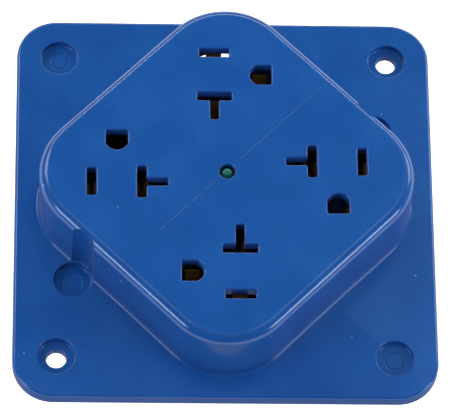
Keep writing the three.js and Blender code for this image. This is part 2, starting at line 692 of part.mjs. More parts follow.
// A part with a lead out of each end, bent up into the board.
function axialPart({ radius, length, span }) {
  const z = BOARD_Z - 0.9 - radius;
  const body = rodAlongX(radius, [-length / 2, length / 2], 0, z);
  const lead = rodAlongX(LEAD_R, [-span / 2 - LEAD_R, span / 2 + LEAD_R], 0, z, LEAD_STEPS);
  return joined(body, lead, ...upLeads([[-span / 2, 0], [span / 2, 0]], z - LEAD_R));
}

function surgeBoard() {
  const levels = [BOARD_Z - 1, BOARD_TOP + 1];
  const blank = box([-BOARD_HALF_WIDTH, BOARD_HALF_WIDTH], BOARD_ENDS, [BOARD_Z, BOARD_TOP]);
  const leadHoles = Object.values(BOARD_PARTS).flatMap(({ at: [u, v], turned: degrees, leads }) =>
    [-leads, leads].map((x) => turn(rod(LEAD_R + GAP, levels, x, 0, LEAD_STEPS), degrees).translate(u, v, 0)),
  );
  const tabSlots = Object.values(BOARD_TABS).map(({ u, v }) => box(grown(u), grown(v), levels));
  const screwHoles = BOARD_SCREWS.map(([u, v]) => rod(BOARD_HOLE_R, levels, u, v));
  return cut(blank, ...leadHoles, ...tabSlots, ...screwHoles);
}

// ---- Materials ----

function finish(color, roughness, metalness) {
  return new THREE.MeshStandardMaterial({ color, roughness, metalness, flatShading: true });
}

const bluePlastic = () => finish(0x1c4c96, 0.25, 0);
const darkPlastic = () => finish(0x26282b, 0.55, 0);
const brownPlastic = () => finish(0x4a3a2e, 0.45, 0);
const brass = () => finish(0xc29a4a, 0.3, 1);
const nickel = () => finish(0xc4c6c8, 0.25, 1);
const steel = () => finish(0x9aa0a6, 0.35, 1);
const greenPaint = () => finish(0x1d7a3c, 0.35, 0.6);
const greenLens = () => finish(0x0b6b4c, 0.15, 0);
const laminate = () => finish(0x2f5d3a, 0.5, 0);
const varistorCoat = () => finish(0x2a5fa8, 0.45, 0);
const fuseCoat = () => finish(0xb9b3a6, 0.4, 0.2);
const resistorCoat = () => finish(0xc7a97a, 0.5, 0);
const diodeCoat = () => finish(0x1a1a1c, 0.35, 0);

// ---- Assembly ----

function node(name, geometry, material) {
  const mesh = new THREE.Mesh(geometry, material);
  mesh.name = name;
  return mesh;
}

function groupAt(degrees, ...children) {
  const group = new THREE.Group();
  group.rotation.z = THREE.MathUtils.degToRad(degrees);
  group.add(...children);
  return group;
}

function receptacle(side, index) {
  const caseScrew = node(`case_screw_${side}`, slottedScrew(CASE_SCREW), steel());
  caseScrew.rotation.x = Math.PI;
  caseScrew.position.set(CASE_SCREW_OFFSET, SLOT_RADIUS, COUNTERBORE.depth - GAP);
  return groupAt(
    -90 * index,
    node(`hot_contact_${side}`, hotContact(), brass()),
    node(`neutral_contact_${side}`, neutralContact(), brass()),
    node(`ground_contact_${side}`, groundContact(), brass()),
    caseScrew,
  );
}

function terminal([name, { angle, places }]) {
  const screwFinish = { hot: brass, neutral: nickel, ground: greenPaint }[name];
  const pieces = places.flatMap((y, index) => {
    const suffix = places.length > 1 ? `_${index + 1}` : "";
    const clamp = node(`${name}_clamp${suffix}`, clampPlate(), steel());
    clamp.position.set(TAB_FACE + GAP, y, TERMINAL_Z);
    const screw = node(`${name}_screw${suffix}`, slottedScrew(TERMINAL_SCREW), screwFinish());
    screw.rotation.y = Math.PI / 2;
    screw.position.set(TAB_FACE + CLAMP.thick + 2 * GAP, y, TERMINAL_Z);
    return [clamp, screw];
  });
  return groupAt(angle, ...pieces);
}

function boardPart(name, geometry, material) {
  const mesh = node(name, geometry, material);
  const { at, turned: degrees } = BOARD_PARTS[name];
  mesh.position.set(at[0], at[1], 0);
  mesh.rotation.z = THREE.MathUtils.degToRad(degrees);
  return mesh;
}

function boardScrew([u, v], index) {
  const mesh = node(`board_screw_${index + 1}`, slottedScrew(BOARD_SCREW), steel());
  mesh.rotation.x = Math.PI;
  mesh.position.set(u, v, BOARD_Z - GAP);
  return mesh;
}

function surgeModule() {
  return groupAt(
    45,
    node("surge_board", surgeBoard(), laminate()),
    boardPart("mov_line_neutral", varistor(), varistorCoat()),
    boardPart("mov_line_ground", varistor(), varistorCoat()),
    boardPart("mov_neutral_ground", varistor(), varistorCoat()),
    boardPart("thermal_fuse_line", axialPart(FUSE), fuseCoat()),
    boardPart("thermal_fuse_ground", axialPart(FUSE), fuseCoat()),
    boardPart("led_resistor", axialPart(RESISTOR), resistorCoat()),
    boardPart("led_diode", axialPart(DIODE), diodeCoat()),
    boardPart("pilot_led", pilotLed(), greenLens()),
    ...BOARD_SCREWS.map(boardScrew),
  );
}

const group = new THREE.Group();
group.add(
  node("front_housing", frontHousing(), bluePlastic()),
  node("rear_housing", rearHousing(), darkPlastic()),
  node("contact_carrier", contactCarrier(), brownPlastic()),
  node("hot_bus", hotBus(), brass()),
  node("neutral_bus", bus("neutral", NEUTRAL_RING, BUS_Z, footHoles(NEUTRAL_Y)), brass()),
  node("ground_bus", groundBus(), brass()),
  node("light_pipe", lightPipe(), greenLens()),
  surgeModule(),
  ...SIDES.map(receptacle),
  ...Object.entries(TERMINALS).map(terminal),
);

export default group;
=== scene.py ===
"""The looks of a four-way surge-suppressing receptacle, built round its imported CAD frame.

Shapes are drawn in millimetres in the CAD frame and become metres when a piece is made.
"""

import json
import math

import bmesh
import bpy
from mathutils import Matrix, Vector

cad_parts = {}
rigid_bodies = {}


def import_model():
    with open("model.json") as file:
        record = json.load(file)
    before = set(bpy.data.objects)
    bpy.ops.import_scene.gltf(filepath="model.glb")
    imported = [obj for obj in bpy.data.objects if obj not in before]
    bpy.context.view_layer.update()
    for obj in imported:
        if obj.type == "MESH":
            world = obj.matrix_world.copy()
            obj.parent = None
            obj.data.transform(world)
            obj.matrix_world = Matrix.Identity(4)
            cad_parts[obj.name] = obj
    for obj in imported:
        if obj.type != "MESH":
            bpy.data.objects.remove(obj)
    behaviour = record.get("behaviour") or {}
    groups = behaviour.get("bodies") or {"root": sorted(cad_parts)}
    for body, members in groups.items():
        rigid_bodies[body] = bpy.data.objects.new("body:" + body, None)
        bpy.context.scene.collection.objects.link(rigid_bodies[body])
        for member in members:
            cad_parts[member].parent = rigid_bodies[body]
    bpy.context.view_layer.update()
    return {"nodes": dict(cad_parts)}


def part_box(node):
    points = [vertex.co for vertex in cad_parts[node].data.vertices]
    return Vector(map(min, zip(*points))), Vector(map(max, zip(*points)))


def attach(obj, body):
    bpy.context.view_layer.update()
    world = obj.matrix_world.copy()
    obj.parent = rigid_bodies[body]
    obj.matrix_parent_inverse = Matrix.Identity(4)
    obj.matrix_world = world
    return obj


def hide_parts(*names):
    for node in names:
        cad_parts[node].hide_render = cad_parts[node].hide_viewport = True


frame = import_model()

# ---- Driving dimensions, in millimetres ----

MM = 0.001
GAP = 0.3  # clearance between separate pieces
FRONT_LOW, FRONT_HIGH = (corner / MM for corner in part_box("front_housing"))
_, REAR_HIGH = (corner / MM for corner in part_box("rear_housing"))

PLATE_HALF = FRONT_HIGH.x
PLATE_BACK = FRONT_LOW.z
FACE = FRONT_HIGH.z
PLATE_TOP = PLATE_BACK + 4
PLATE_CORNER = 10.5
PLATE_EDGE_R = 0.9
PLATE_SLOPE = math.tan(math.radians(2))
PLATE_RIM = 3
PLATE_RECESS = 1.2

DOME_HALF = 39
DOME_CORNER = 18.2
DOME_WALL = 2.1
DOME_DRAFT = 0.15  # how much wider the dome is at its foot
FOOT_R = 0.7
RIM = 2.4  # width and height of the rounded rim
RIM_TIGHT_R = 0.8  # where the rim meets the wall
RIM_TIGHT_TURN = math.radians(12)
FACE_THICK = 3
MOUTH_CORNER = 9  # corner radius of the cavity's mouth in the plate's back
MOUTH_DEPTH = 3
CAVITY_HALF = DOME_HALF - DOME_WALL
FACE_INSIDE = FACE - FACE_THICK

CORNER_SPACING = 85.73
EAR_SPACING = 88.9
EAR_ANGLE = math.radians(29)
RECESS_R = 4.75
RECESS_FLOOR = PLATE_TOP - 1.6
MOUNT_HOLE_R = 2.6

SLOT_RADIUS = 28
SLOT_OFFSET = -3.1
BLADE_HALF_PITCH = 6.35
GROUND_OFFSET = 8.8
SLOT_WIDTH = 2.4
HOT_LENGTH = 7.7
TEE_BAR = 8.9
TEE_LEG_WIDTH = 2.2
TEE_LEG = 5.5
GROUND_HALF = 2.8
GROUND_ARC_R = 3.15
LIP = 0.4
LAMP_HOLE_R = 2.05

CASE_SCREW_OFFSET = 2
CASE_HOLE_R = 1.75
BOSS_R = 3.2
CARRIER_TOP = PLATE_BACK + 2.5
RIB_HALF = 0.8
SHIELD_HALF = 3.8
SHIELD_OUT = 4.2  # from a ground hole's middle out to its shield
SHIELD_DEPTH = 14

SIDES = ["top", "right", "bottom", "left"]
HOT_Y = SLOT_RADIUS + BLADE_HALF_PITCH
NEUTRAL_Y = SLOT_RADIUS - BLADE_HALF_PITCH

# ---- Outlines: closed lists of (point, outward normal), anticlockwise ----


def rounded_outline(corners, radius, steps):
    """A polygon with its corners rounded. Corners may turn either way."""
    outline = []
    for k, corner in enumerate(corners):
        here = Vector(corner)
        into = (here - Vector(corners[k - 1])).normalized()
        away = (Vector(corners[(k + 1) % len(corners)]) - here).normalized()
        turn = math.atan2(into.cross(away), into.dot(away))
        side = 1 if turn > 0 else -1
        normal = Vector((into.y, -into.x))
        centre = here - into * radius * math.tan(abs(turn) / 2) - normal * radius * side
        for step in range(steps + 1):
            direction = normal.copy()
            direction.rotate(Matrix.Rotation(turn * step / steps, 2))
            outline.append((centre + direction * radius * side, direction))
    return outline


def circle(radius, steps, x=0, y=0):
    outline = []
    for step in range(steps):
        angle = 2 * math.pi * step / steps
        direction = Vector((math.cos(angle), math.sin(angle)))
        outline.append((Vector((x, y)) + direction * radius, direction))
    return outline


def rectangle(x0, x1, y0, y1, radius=0.3, steps=4):
    return rounded_outline([(x0, y0), (x1, y0), (x1, y1), (x0, y1)], radius, steps)


def rounded_square(half, corner, steps):
    return rectangle(-half, half, -half, half, corner, steps)


def turned(outline, degrees):
    spin = Matrix.Rotation(math.radians(degrees), 2)
    return [(spin @ point, spin @ normal) for point, normal in outline]


def shifted(outline, x, y):
    return [(point + Vector((x, y)), normal) for point, normal in outline]


def pinwheel(outline):
    """An outline drawn for the top receptacle, once for each receptacle, clockwise."""
    return [turned(outline, -90 * k) for k in range(4)]


def level(outline, z, grown=0):
    """One ring of an outline at a height, which may be a function of x and y."""
    points = [point + normal * grown for point, normal in outline]
    return [Vector((p.x, p.y, z(p.x, p.y) if callable(z) else z)) for p in points]


# ---- Meshes ----


def lofted(rings, closed=False):
    """A closed body through rings of equal length: quads between them, and a flat face at each end."""
    mesh = bmesh.new()
    rows = [[mesh.verts.new(point) for point in ring] for ring in rings]
    pairs = list(zip(rows, rows[1:] + rows[:1])) if closed else list(zip(rows, rows[1:]))
    for lower, upper in pairs:
        for k, vertex in enumerate(lower):
            mesh.faces.new((lower[k - 1], vertex, upper[k], upper[k - 1]))
    if not closed:
        mesh.faces.new(rows[0][::-1])
        mesh.faces.new(rows[-1])
    bmesh.ops.recalc_face_normals(mesh, faces=mesh.faces)
    return mesh


def prism(outline, low, high):
    return lofted([level(outline, low), level(outline, high)])


def block(x, y, z):
    return prism(rectangle(*x, *y, radius=0.02, steps=1), *z)


def lathed(profile, steps=48):
    """A body of revolution about Z from [radius, z] pairs that start and end on the axis."""
    mesh = bmesh.new()
    rings = []
    for radius, z in profile:
        if radius < 1e-6:
            rings.append([mesh.verts.new((0, 0, z))])
        else:
            rings.append([mesh.verts.new((*point, z)) for point, _ in circle(radius, steps)])
    for lower, upper in zip(rings, rings[1:]):
        for k in range(steps):
            below = [lower[k - 1], lower[k]] if len(lower) > 1 else lower
            above = [upper[k], upper[k - 1]] if len(upper) > 1 else upper
            mesh.faces.new(below + above)
    bmesh.ops.recalc_face_normals(mesh, faces=mesh.faces)
    return mesh


def placed(mesh, matrix):
    mesh.transform(matrix)
    return mesh


def spun(mesh, degrees):
    return placed(mesh, Matrix.Rotation(math.radians(degrees), 4, "Z"))


def as_object(name, mesh):
    """A bmesh, which is used up, or a mesh as a new object in the scene."""
    if isinstance(mesh, bmesh.types.BMesh):
        data = bpy.data.meshes.new(name)
        mesh.to_mesh(data)
        mesh.free()
    else:
        data = mesh
    thing = bpy.data.objects.new(name, data)
    bpy.context.scene.collection.objects.link(thing)
    return thing


def baked(thing):
    """The object's mesh with its modifiers applied."""
    graph = bpy.context.evaluated_depsgraph_get()
    data = bpy.data.meshes.new_from_object(thing.evaluated_get(graph))
    thing.modifiers.clear()
    thing.data = data
    return thing


def combined(thing, operation, tools):
    """An exact boolean of an object with several meshes, which are used up."""
    group = bpy.data.collections.new("tools")
    bpy.context.scene.collection.children.link(group)
    for tool in tools:
        helper = as_object("tool", tool)
        bpy.context.scene.collection.objects.unlink(helper)
        group.objects.link(helper)
    step = thing.modifiers.new("boolean", "BOOLEAN")
    step.operation = operation
    step.solver = "EXACT"
    step.operand_type = "COLLECTION"
    step.collection = group
    baked(thing)
    for helper in list(group.objects):
        bpy.data.objects.remove(helper)
    bpy.data.collections.remove(group)
    return thing


def mesh_of(thing):
    """The object's mesh as a bmesh. The object is removed."""
    mesh = bmesh.new()
    mesh.from_mesh(thing.data)
    bpy.data.objects.remove(thing)
    return mesh


def joined(first, *others):
    return mesh_of(combined(as_object("whole", first), "UNION", others))


def carved(first, *others):
    return mesh_of(combined(as_object("whole", first), "DIFFERENCE", others))


def piece(name, mesh, material, slot, nodes, body, angle=32):
    """A finished piece: welded, in metres, shaded smooth up to an angle, riding on its body."""
    bmesh.ops.remove_doubles(mesh, verts=mesh.verts, dist=1e-4)
    bmesh.ops.dissolve_degenerate(mesh, edges=mesh.edges, dist=1e-4)
    mesh.transform(Matrix.Scale(MM, 4))
    thing = as_object(name, mesh)
    thing.data.polygons.foreach_set("use_smooth", [True] * len(thing.data.polygons))
    thing.data.set_sharp_from_angle(angle=math.radians(angle))
    weighted = thing.modifiers.new("weighted", "WEIGHTED_NORMAL")
    weighted.keep_sharp = True
    weighted.weight = 90
    baked(thing)
    thing.data.materials.clear()
    thing.data.materials.append(material)
    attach(thing, body)
    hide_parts(*nodes)
    return thing


# ---- Materials ----


def linear(red, green, blue):
    """A colour given in 0 to 255 steps as the shader's linear values."""
    shares = [step / 255 for step in (red, green, blue)]
    return [((share + 0.055) / 1.055) ** 2.4 if share > 0.04 else share / 12.92 for share in shares] + [1]


SPECK = (150, 185, 235)


def finish(
    name, colour, pale, roughness, metallic=0, mottle=90, grain=2600, bump=0.02, coat=0, specks=0, sheen=0
):
    """A moulded or metal finish: a faint two-scale mottle, uneven gloss and a fine grain."""
    material = bpy.data.materials.new(name)
    material.use_nodes = True
    nodes, links = material.node_tree.nodes, material.node_tree.links
    shader = nodes["Principled BSDF"]
    shader.inputs["Metallic"].default_value = metallic
    shader.inputs["Coat Weight"].default_value = coat
    shader.inputs["Coat Roughness"].default_value = 0.06
    shader.inputs["Sheen Weight"].default_value = sheen
    shader.inputs["Sheen Roughness"].default_value = 0.3
    shader.inputs["Sheen Tint"].default_value = (1, 0.75, 0.85, 1)
    where = nodes.new("ShaderNodeTexCoord")

    def noise(scale, detail, low, high, out_low, out_high):
        texture = nodes.new("ShaderNodeTexNoise")
        texture.inputs["Scale"].default_value = scale
        texture.inputs["Detail"].default_value = detail
        links.new(where.outputs["Object"], texture.inputs["Vector"])
        mapped = nodes.new("ShaderNodeMapRange")
        ends = {"From Min": low, "From Max": high, "To Min": out_low, "To Max": out_high}
        for socket, value in ends.items():
            mapped.inputs[socket].default_value = value
        links.new(texture.outputs["Fac"], mapped.inputs["Value"])
        return mapped.outputs["Result"]

    def mixed(first, second, share):
        mix = nodes.new("ShaderNodeMix")
        mix.data_type = "RGBA"
        colours = [socket for socket in mix.inputs if socket.type == "RGBA"]
        for socket, value in zip(colours, (first, second)):
            if isinstance(value, bpy.types.NodeSocket):
                links.new(value, socket)
            else:
                socket.default_value = value
        links.new(share, mix.inputs[0])
        return next(socket for socket in mix.outputs if socket.type == "RGBA")

    tint = mixed(linear(*colour), linear(*pale), noise(mottle, 5, 0.35, 0.65, 0, 1))
    if specks:
        tint = mixed(tint, linear(*SPECK), noise(specks, 2, 0.77, 0.8, 0, 0.7))
    links.new(tint, shader.inputs["Base Color"])
    gloss = noise(mottle * 0.6, 4, 0.3, 0.7, roughness * 0.85, roughness * 1.15)
    links.new(gloss, shader.inputs["Roughness"])
    relief = nodes.new("ShaderNodeBump")
    relief.inputs["Strength"].default_value = bump
    relief.inputs["Distance"].default_value = 0.0001
    links.new(noise(grain, 3, 0.2, 0.8, 0, 1), relief.inputs["Height"])
    links.new(relief.outputs["Normal"], shader.inputs["Normal"])
    return material


BLUE = finish("blue_plastic", (24, 80, 152), (29, 87, 158), 0.16, specks=420, sheen=0.15)
CHARCOAL = finish("dark_plastic", (34, 36, 39), (44, 46, 50), 0.5, mottle=220, grain=5200, bump=0.25)
BROWN = finish("brown_plastic", (98, 76, 58), (112, 88, 68), 0.42, mottle=160, grain=4200, bump=0.15)
BRASS = finish("brass", (188, 146, 64), (206, 166, 88), 0.3, 0.8, mottle=260, grain=6500, bump=0.15)
BRASS_SCREW = finish("brass_screw", (198, 152, 66), (216, 176, 96), 0.22, 1, mottle=500, grain=9000, bump=0.1)
NICKEL = finish("nickel", (188, 190, 190), (208, 210, 211), 0.2, 1, mottle=500, grain=9000, bump=0.1)
STEEL = finish("steel", (146, 150, 154), (170, 174, 178), 0.33, 1, mottle=420, grain=8000, bump=0.2)
GREEN_SCREW = finish("green_screw", (22, 108, 54), (30, 128, 66), 0.28, 0.4, mottle=500, grain=9000, bump=0.1)
GREEN_LENS = finish("green_lens", (4, 94, 76), (10, 106, 86), 0.1, mottle=700, grain=9000, coat=0.3)
LAMINATE = finish("laminate", (38, 84, 52), (48, 98, 60), 0.42, mottle=900, grain=7000, bump=0.3)
VARISTOR_COAT = finish("varistor_coat", (36, 84, 150), (46, 98, 166), 0.38, mottle=320, grain=1800, bump=0.5)
FUSE_COAT = finish("fuse_coat", (178, 172, 158), (196, 190, 176), 0.36, 0.2, mottle=500, bump=0.2)
RESISTOR_COAT = finish("resistor_coat", (190, 160, 112), (206, 178, 132), 0.45, mottle=600, bump=0.3)
DIODE_COAT = finish("diode_coat", (24, 24, 26), (36, 36, 38), 0.32, mottle=600, bump=0.2)

# ---- Front housing ----


def plate_height(x, y):
    """The plate's top: four facets that rise from its edges towards the dome."""
    return PLATE_TOP + (PLATE_HALF - max(abs(x), abs(y))) * PLATE_SLOPE


def reach(angle, half, corner):
    """From the centre to the side of a rounded square, in one direction."""
    turn = (angle + math.pi / 4) % (math.pi / 2) - math.pi / 4
    along, across = math.cos(turn), abs(math.sin(turn))
    middle = half - corner
    if half * across / along <= middle:
        return half / along
    return middle * (along + across) + math.sqrt(corner**2 - (middle * (along - across)) ** 2)


def plate_reach(angle, inset):
    return reach(angle, PLATE_HALF - inset, PLATE_CORNER - inset)


def dome_reach(angle, inset):
    return reach(angle - math.pi / 4, DOME_HALF - inset, DOME_CORNER - inset)


def arc_directions(half, corner, steps):
    """The directions, in one quarter turn, of even steps round a rounded square's corner."""
    middle = half - corner
    turns = [math.pi / 2 * step / steps for step in range(steps + 1)]
    return [math.atan2(middle + corner * math.sin(t), middle + corner * math.cos(t)) for t in turns]


def directions():
    """Directions from the centre that serve both the plate's outline and the dome's."""
    crease = math.radians(0.2)
    wanted = [math.pi / 4, math.pi / 4 - crease, math.pi / 4 + crease]
    dome = [t - math.pi / 4 for t in arc_directions(DOME_HALF, DOME_CORNER, 48)]
    even = [math.radians(3 * step) for step in range(30)]
    for angle in arc_directions(PLATE_HALF, PLATE_CORNER, 20) + dome + even:
        angle %= math.pi / 2
        gaps = [abs((angle - other + math.pi / 4) % (math.pi / 2) - math.pi / 4) for other in wanted]
        if min(gaps) > math.radians(0.3):
            wanted.append(angle)
    quarter = sorted(wanted)
    return [angle + math.pi / 2 * k for k in range(4) for angle in quarter]


def rim_profile():
    """(inset, drop below the face) pairs up the rim: a tight arc off the wall, then an even rounding."""
    tight_rise = RIM_TIGHT_R * math.sin(RIM_TIGHT_TURN)
    wide_r = (RIM - tight_rise) / (1 - math.sin(RIM_TIGHT_TURN))
    inset, drop, heading = 0.0, RIM, 0.0
    profile = [(inset, drop)]
    arcs = ((RIM_TIGHT_R, RIM_TIGHT_TURN, 3), (wide_r, math.pi / 2 - RIM_TIGHT_TURN, 18))
    for radius, turn, steps in arcs:
        for _ in range(steps):
            after = heading + turn / steps
            inset += radius * (math.cos(heading) - math.cos(after))
            drop -= radius * (math.sin(after) - math.sin(heading))
            heading = after
            profile.append((inset, max(drop, 0.0)))
    return profile


def polar_ring(angles, distance, height):
    points = [(math.cos(t) * distance(t), math.sin(t) * distance(t)) for t in angles]
    return [Vector((x, y, height(x, y))) for x, y in points]


def outer_skin():
    """The plate and dome's outside as one body, lofted through rings about the centre."""
    angles = directions()

    def ring(distance, height):
        return polar_ring(angles, distance, height)

    def plate_ring(inset, height):
        return ring(lambda t: plate_reach(t, inset), height)

    def dome_ring(inset, height):
        return ring(lambda t: dome_reach(t, inset), height)

    def between(angle, share):
        outer, inner = plate_reach(angle, PLATE_EDGE_R), dome_reach(angle, -DOME_DRAFT - FOOT_R)
        return outer * (1 - share) + inner * share

    quarter = [math.pi / 2 * step / 6 for step in range(7)]
    back_edge = 0.3
    rings = []
    for t in quarter:
        height = PLATE_BACK + back_edge * (1 - math.cos(t))
        rings.append(plate_ring(back_edge * (1 - math.sin(t)), lambda x, y: height))
    rings.append(plate_ring(0, lambda x, y: PLATE_BACK + 2))
    for t in quarter:
        drop = PLATE_EDGE_R * (1 - math.sin(t))
        rings.append(plate_ring(PLATE_EDGE_R * (1 - math.cos(t)), lambda x, y: plate_height(x, y) - drop))
    steps = 8
    for step in range(1, steps + 1):
        share = step / steps
        rings.append(ring(lambda t: between(t, share), plate_height))
    for t in quarter[1:]:
        outset = DOME_DRAFT + FOOT_R * (1 - math.sin(t))
        rise = FOOT_R * (1 - math.cos(t))
        rings.append(dome_ring(-outset, lambda x, y: plate_height(x, y) + rise))
    wall_top = FACE - RIM
    rings.append(dome_ring(-DOME_DRAFT / 2, lambda x, y: (plate_height(x, y) + wall_top) / 2))
    for inset, drop in rim_profile():
        rings.append(dome_ring(inset, lambda x, y, drop=drop: FACE - drop))
    return lofted(rings)


def lip_rings(outline, top, lip):
    """Rings of a cutter that rounds over the edge of its hole, up to a surface given as a function."""
    rings = []
    for step in range(7):
        turn = math.radians(80) * step / 6
        drop = lip * (1 - math.sin(turn))
        mouth = lip * (1 - math.cos(turn))
        rings.append(level(outline, lambda x, y: top(x, y) - drop, mouth))
    over = 0.06  # how far past the surface the rounding's slope carries on
    mouth += over * math.tan(turn)
    rings.append(level(outline, lambda x, y: top(x, y) + over, mouth))
    rings.append(level(outline, FACE + 1, mouth))
    return rings


def face_height(x, y):
    return FACE


def through_face(outline, bottom=FACE_INSIDE - 1, lip=LIP):
    return lofted([level(outline, bottom)] + lip_rings(outline, face_height, lip))


def hot_slot():
    x, y = HOT_LENGTH / 2, SLOT_WIDTH / 2
    return shifted(rectangle(-x, x, -y, y, 0.3), SLOT_OFFSET, HOT_Y)


def tee_slot():
    x, y, leg = TEE_BAR / 2, SLOT_WIDTH / 2, TEE_LEG_WIDTH / 2
    foot = -y - TEE_LEG
    corners = [(-leg, foot), (leg, foot), (leg, -y), (x, -y), (x, y), (-x, y), (-x, -y), (-leg, -y)]
    return shifted(rounded_outline(corners, LIP + 0.05, 4), SLOT_OFFSET, NEUTRAL_Y)


def ground_slot():
    """D-shaped: flat on the side away from the blades, an arc on the other."""
    flat, radius, steps = GROUND_HALF, 0.35, 4
    centre = Vector((GROUND_ARC_R - GROUND_HALF, 0))
    start = math.pi - math.asin(GROUND_HALF / GROUND_ARC_R)
    outline = []
    for y, first in ((-1, -math.pi / 2), (1, 0)):
        middle = Vector((flat - radius, y * (GROUND_HALF - radius)))
        for step in range(steps + 1):
            angle = first + math.pi / 2 * step / steps
            direction = Vector((math.cos(angle), math.sin(angle)))
            outline.append((middle + direction * radius, direction))
    arc_steps = 24
    for step in range(arc_steps + 1):
        angle = start + (2 * math.pi - 2 * start) * step / arc_steps
        direction = Vector((math.cos(angle), math.sin(angle)))
        outline.append((centre + direction * GROUND_ARC_R, direction))
    return shifted(outline, GROUND_OFFSET, SLOT_RADIUS)


def recess_places():
    """(x, y, whether a hole goes through) of the recesses for screws."""
    corner = CORNER_SPACING / 2
    ear = Vector((math.cos(EAR_ANGLE), math.sin(EAR_ANGLE))) * EAR_SPACING / 2
    return [
        (corner, corner, True),
        (-corner, -corner, True),
        (corner, -corner, False),
        (-corner, corner, False),
        (ear.x, ear.y, False),
        (-ear.x, -ear.y, False),
    ]


def recess_cutters(x, y, through):
    """A recess with a rounded edge and floor, and its through hole, or the ring a blanked hole leaves."""
    floor_r, lip = 0.3, 0.3
    outline = circle(RECESS_R, 96, x, y)
    turns = [math.pi / 2 * step / 4 for step in range(5)]
    rings = [
        level(outline, RECESS_FLOOR + floor_r * (1 - math.cos(t)), -floor_r * (1 - math.sin(t)))
        for t in turns
    ]
    cutters = [lofted(rings + lip_rings(outline, plate_height, lip))]
    if through:
        hole = circle(MOUNT_HOLE_R, 64, x, y)
        rings = [level(hole, PLATE_BACK - 1)] + lip_rings(hole, lambda px, py: RECESS_FLOOR, 0.2)
        cutters.append(lofted(rings))
    else:
        cutters.append(prism(circle(MOUNT_HOLE_R, 64, x, y), PLATE_BACK - 1, RECESS_FLOOR - 1))
        mark_r = 0.25
        turns = [2 * math.pi * k / 12 for k in range(12)]
        mark = [(MOUNT_HOLE_R - mark_r + mark_r * math.cos(t), 0.1 + mark_r * math.sin(t)) for t in turns]
        rings = [level(circle(radius, 64, x, y), RECESS_FLOOR + z) for radius, z in mark]
        cutters.append(lofted(rings, closed=True))
    return cutters


def plate_recess():
    """The hollow behind the plate, less the dome's seat, the screw bosses and the ribs standing in it."""
    low, high = PLATE_BACK - 2, PLATE_BACK + PLATE_RECESS + 1
    inner = PLATE_HALF - PLATE_RIM
    outline = rounded_square(inner, PLATE_CORNER - PLATE_RIM, 12)
    field = prism(outline, PLATE_BACK - 1, PLATE_BACK + PLATE_RECESS)
    standing = [prism(turned(rounded_square(CAVITY_HALF + 3.6, DOME_CORNER + 1.5, 24), 45), low, high)]
    standing += [prism(circle(RECESS_R + 1.8, 64, x, y), low, high) for x, y, _ in recess_places()]
    for quarter in range(4):
        diagonal = block((CAVITY_HALF, PLATE_HALF * math.sqrt(2)), (-RIB_HALF, RIB_HALF), (low, high))
        standing.append(spun(diagonal, 45 + 90 * quarter))
        for place in (-24, 24):
            straight = block((30, inner + 1), (place - RIB_HALF, place + RIB_HALF), (low, high))
            standing.append(spun(straight, 90 * quarter))
    return carved(field, *standing)


def dome_cavity():
    """The hollow in the dome, rounded under the face."""
    outline = turned(rounded_square(CAVITY_HALF, DOME_CORNER - DOME_WALL, 24), 45)
    inside_r = 1.2
    rings = [level(outline, PLATE_BACK - 1)]
    for step in range(5):
        turn = math.pi / 2 * step / 4
        height = FACE_INSIDE - inside_r * (1 - math.sin(turn))
        rings.append(level(outline, height, -inside_r * (1 - math.cos(turn))))
    return lofted(rings)


def cavity_mouth():
    """The cavity's wider corners at the back of the plate."""
    outline = turned(rounded_square(CAVITY_HALF, MOUTH_CORNER, 24), 45)
    return prism(outline, PLATE_BACK - 1, PLATE_BACK + MOUTH_DEPTH)


def dome_inside():
    """Screw bosses, ground hole shields, the lamp tube and stiffening ribs under the face."""
    roots = FACE_INSIDE + 0.5
    boss = circle(BOSS_R, 48, CASE_SCREW_OFFSET, SLOT_RADIUS)
    bosses = [prism(outline, CARRIER_TOP + GAP, roots) for outline in pinwheel(boss)]
    tube = prism(circle(LAMP_HOLE_R + 1.5, 48), CARRIER_TOP + 2.1, roots)
    rib = ((LAMP_HOLE_R + 0.9, CAVITY_HALF + 0.5), (-RIB_HALF, RIB_HALF), (FACE_INSIDE - 6, roots))
    ribs = [spun(block(*rib), angle) for angle in (45, 135, 225, 315)]
    shield = (
        (GROUND_OFFSET - SHIELD_HALF, GROUND_OFFSET + SHIELD_HALF),
        (SLOT_RADIUS + SHIELD_OUT, SLOT_RADIUS + SHIELD_OUT + 1),
        (FACE_INSIDE - SHIELD_DEPTH, roots),
    )
    shields = [spun(block(*shield), -90 * k) for k in range(4)]
    return [*bosses, tube, *ribs, *shields]


def hairlines():
    """A plain fine line along the face's diagonal, in two stretches beside the lamp."""
    half, depth = 0.2, 0.114
    lines = []
    for start, end in ((4, 35.5), (-24, -4)):
        line = rectangle(start, end, -half, half, half * 0.9, 3)
        rings = [level(line, FACE - depth, -half * 0.6), level(line, FACE + 0.02), level(line, FACE + 1)]
        lines.append(spun(lofted(rings), 45))
    return lines


def front_housing():
    shell = carved(outer_skin(), dome_cavity(), plate_recess())
    shell = carved(joined(shell, *dome_inside()), cavity_mouth())
    slots = []
    for slot in (hot_slot, tee_slot, ground_slot):
        slots += [through_face(outline) for outline in pinwheel(slot())]
    lamp_hole = through_face(circle(LAMP_HOLE_R, 48), PLATE_BACK, 0.25)
    screw_hole = circle(CASE_HOLE_R, 32, CASE_SCREW_OFFSET, SLOT_RADIUS)
    screw_holes = [prism(outline, PLATE_BACK, CARRIER_TOP + 12) for outline in pinwheel(screw_hole)]
    recesses = [cutter for place in recess_places() for cutter in recess_cutters(*place)]
    shell = carved(shell, *slots, lamp_hole, *screw_holes, *recesses, *hairlines())
    piece("cover_plate_and_dome", shell, BLUE, "blue_plastic", ["front_housing"], "housing")


front_housing()

# ---- Rear housing ----

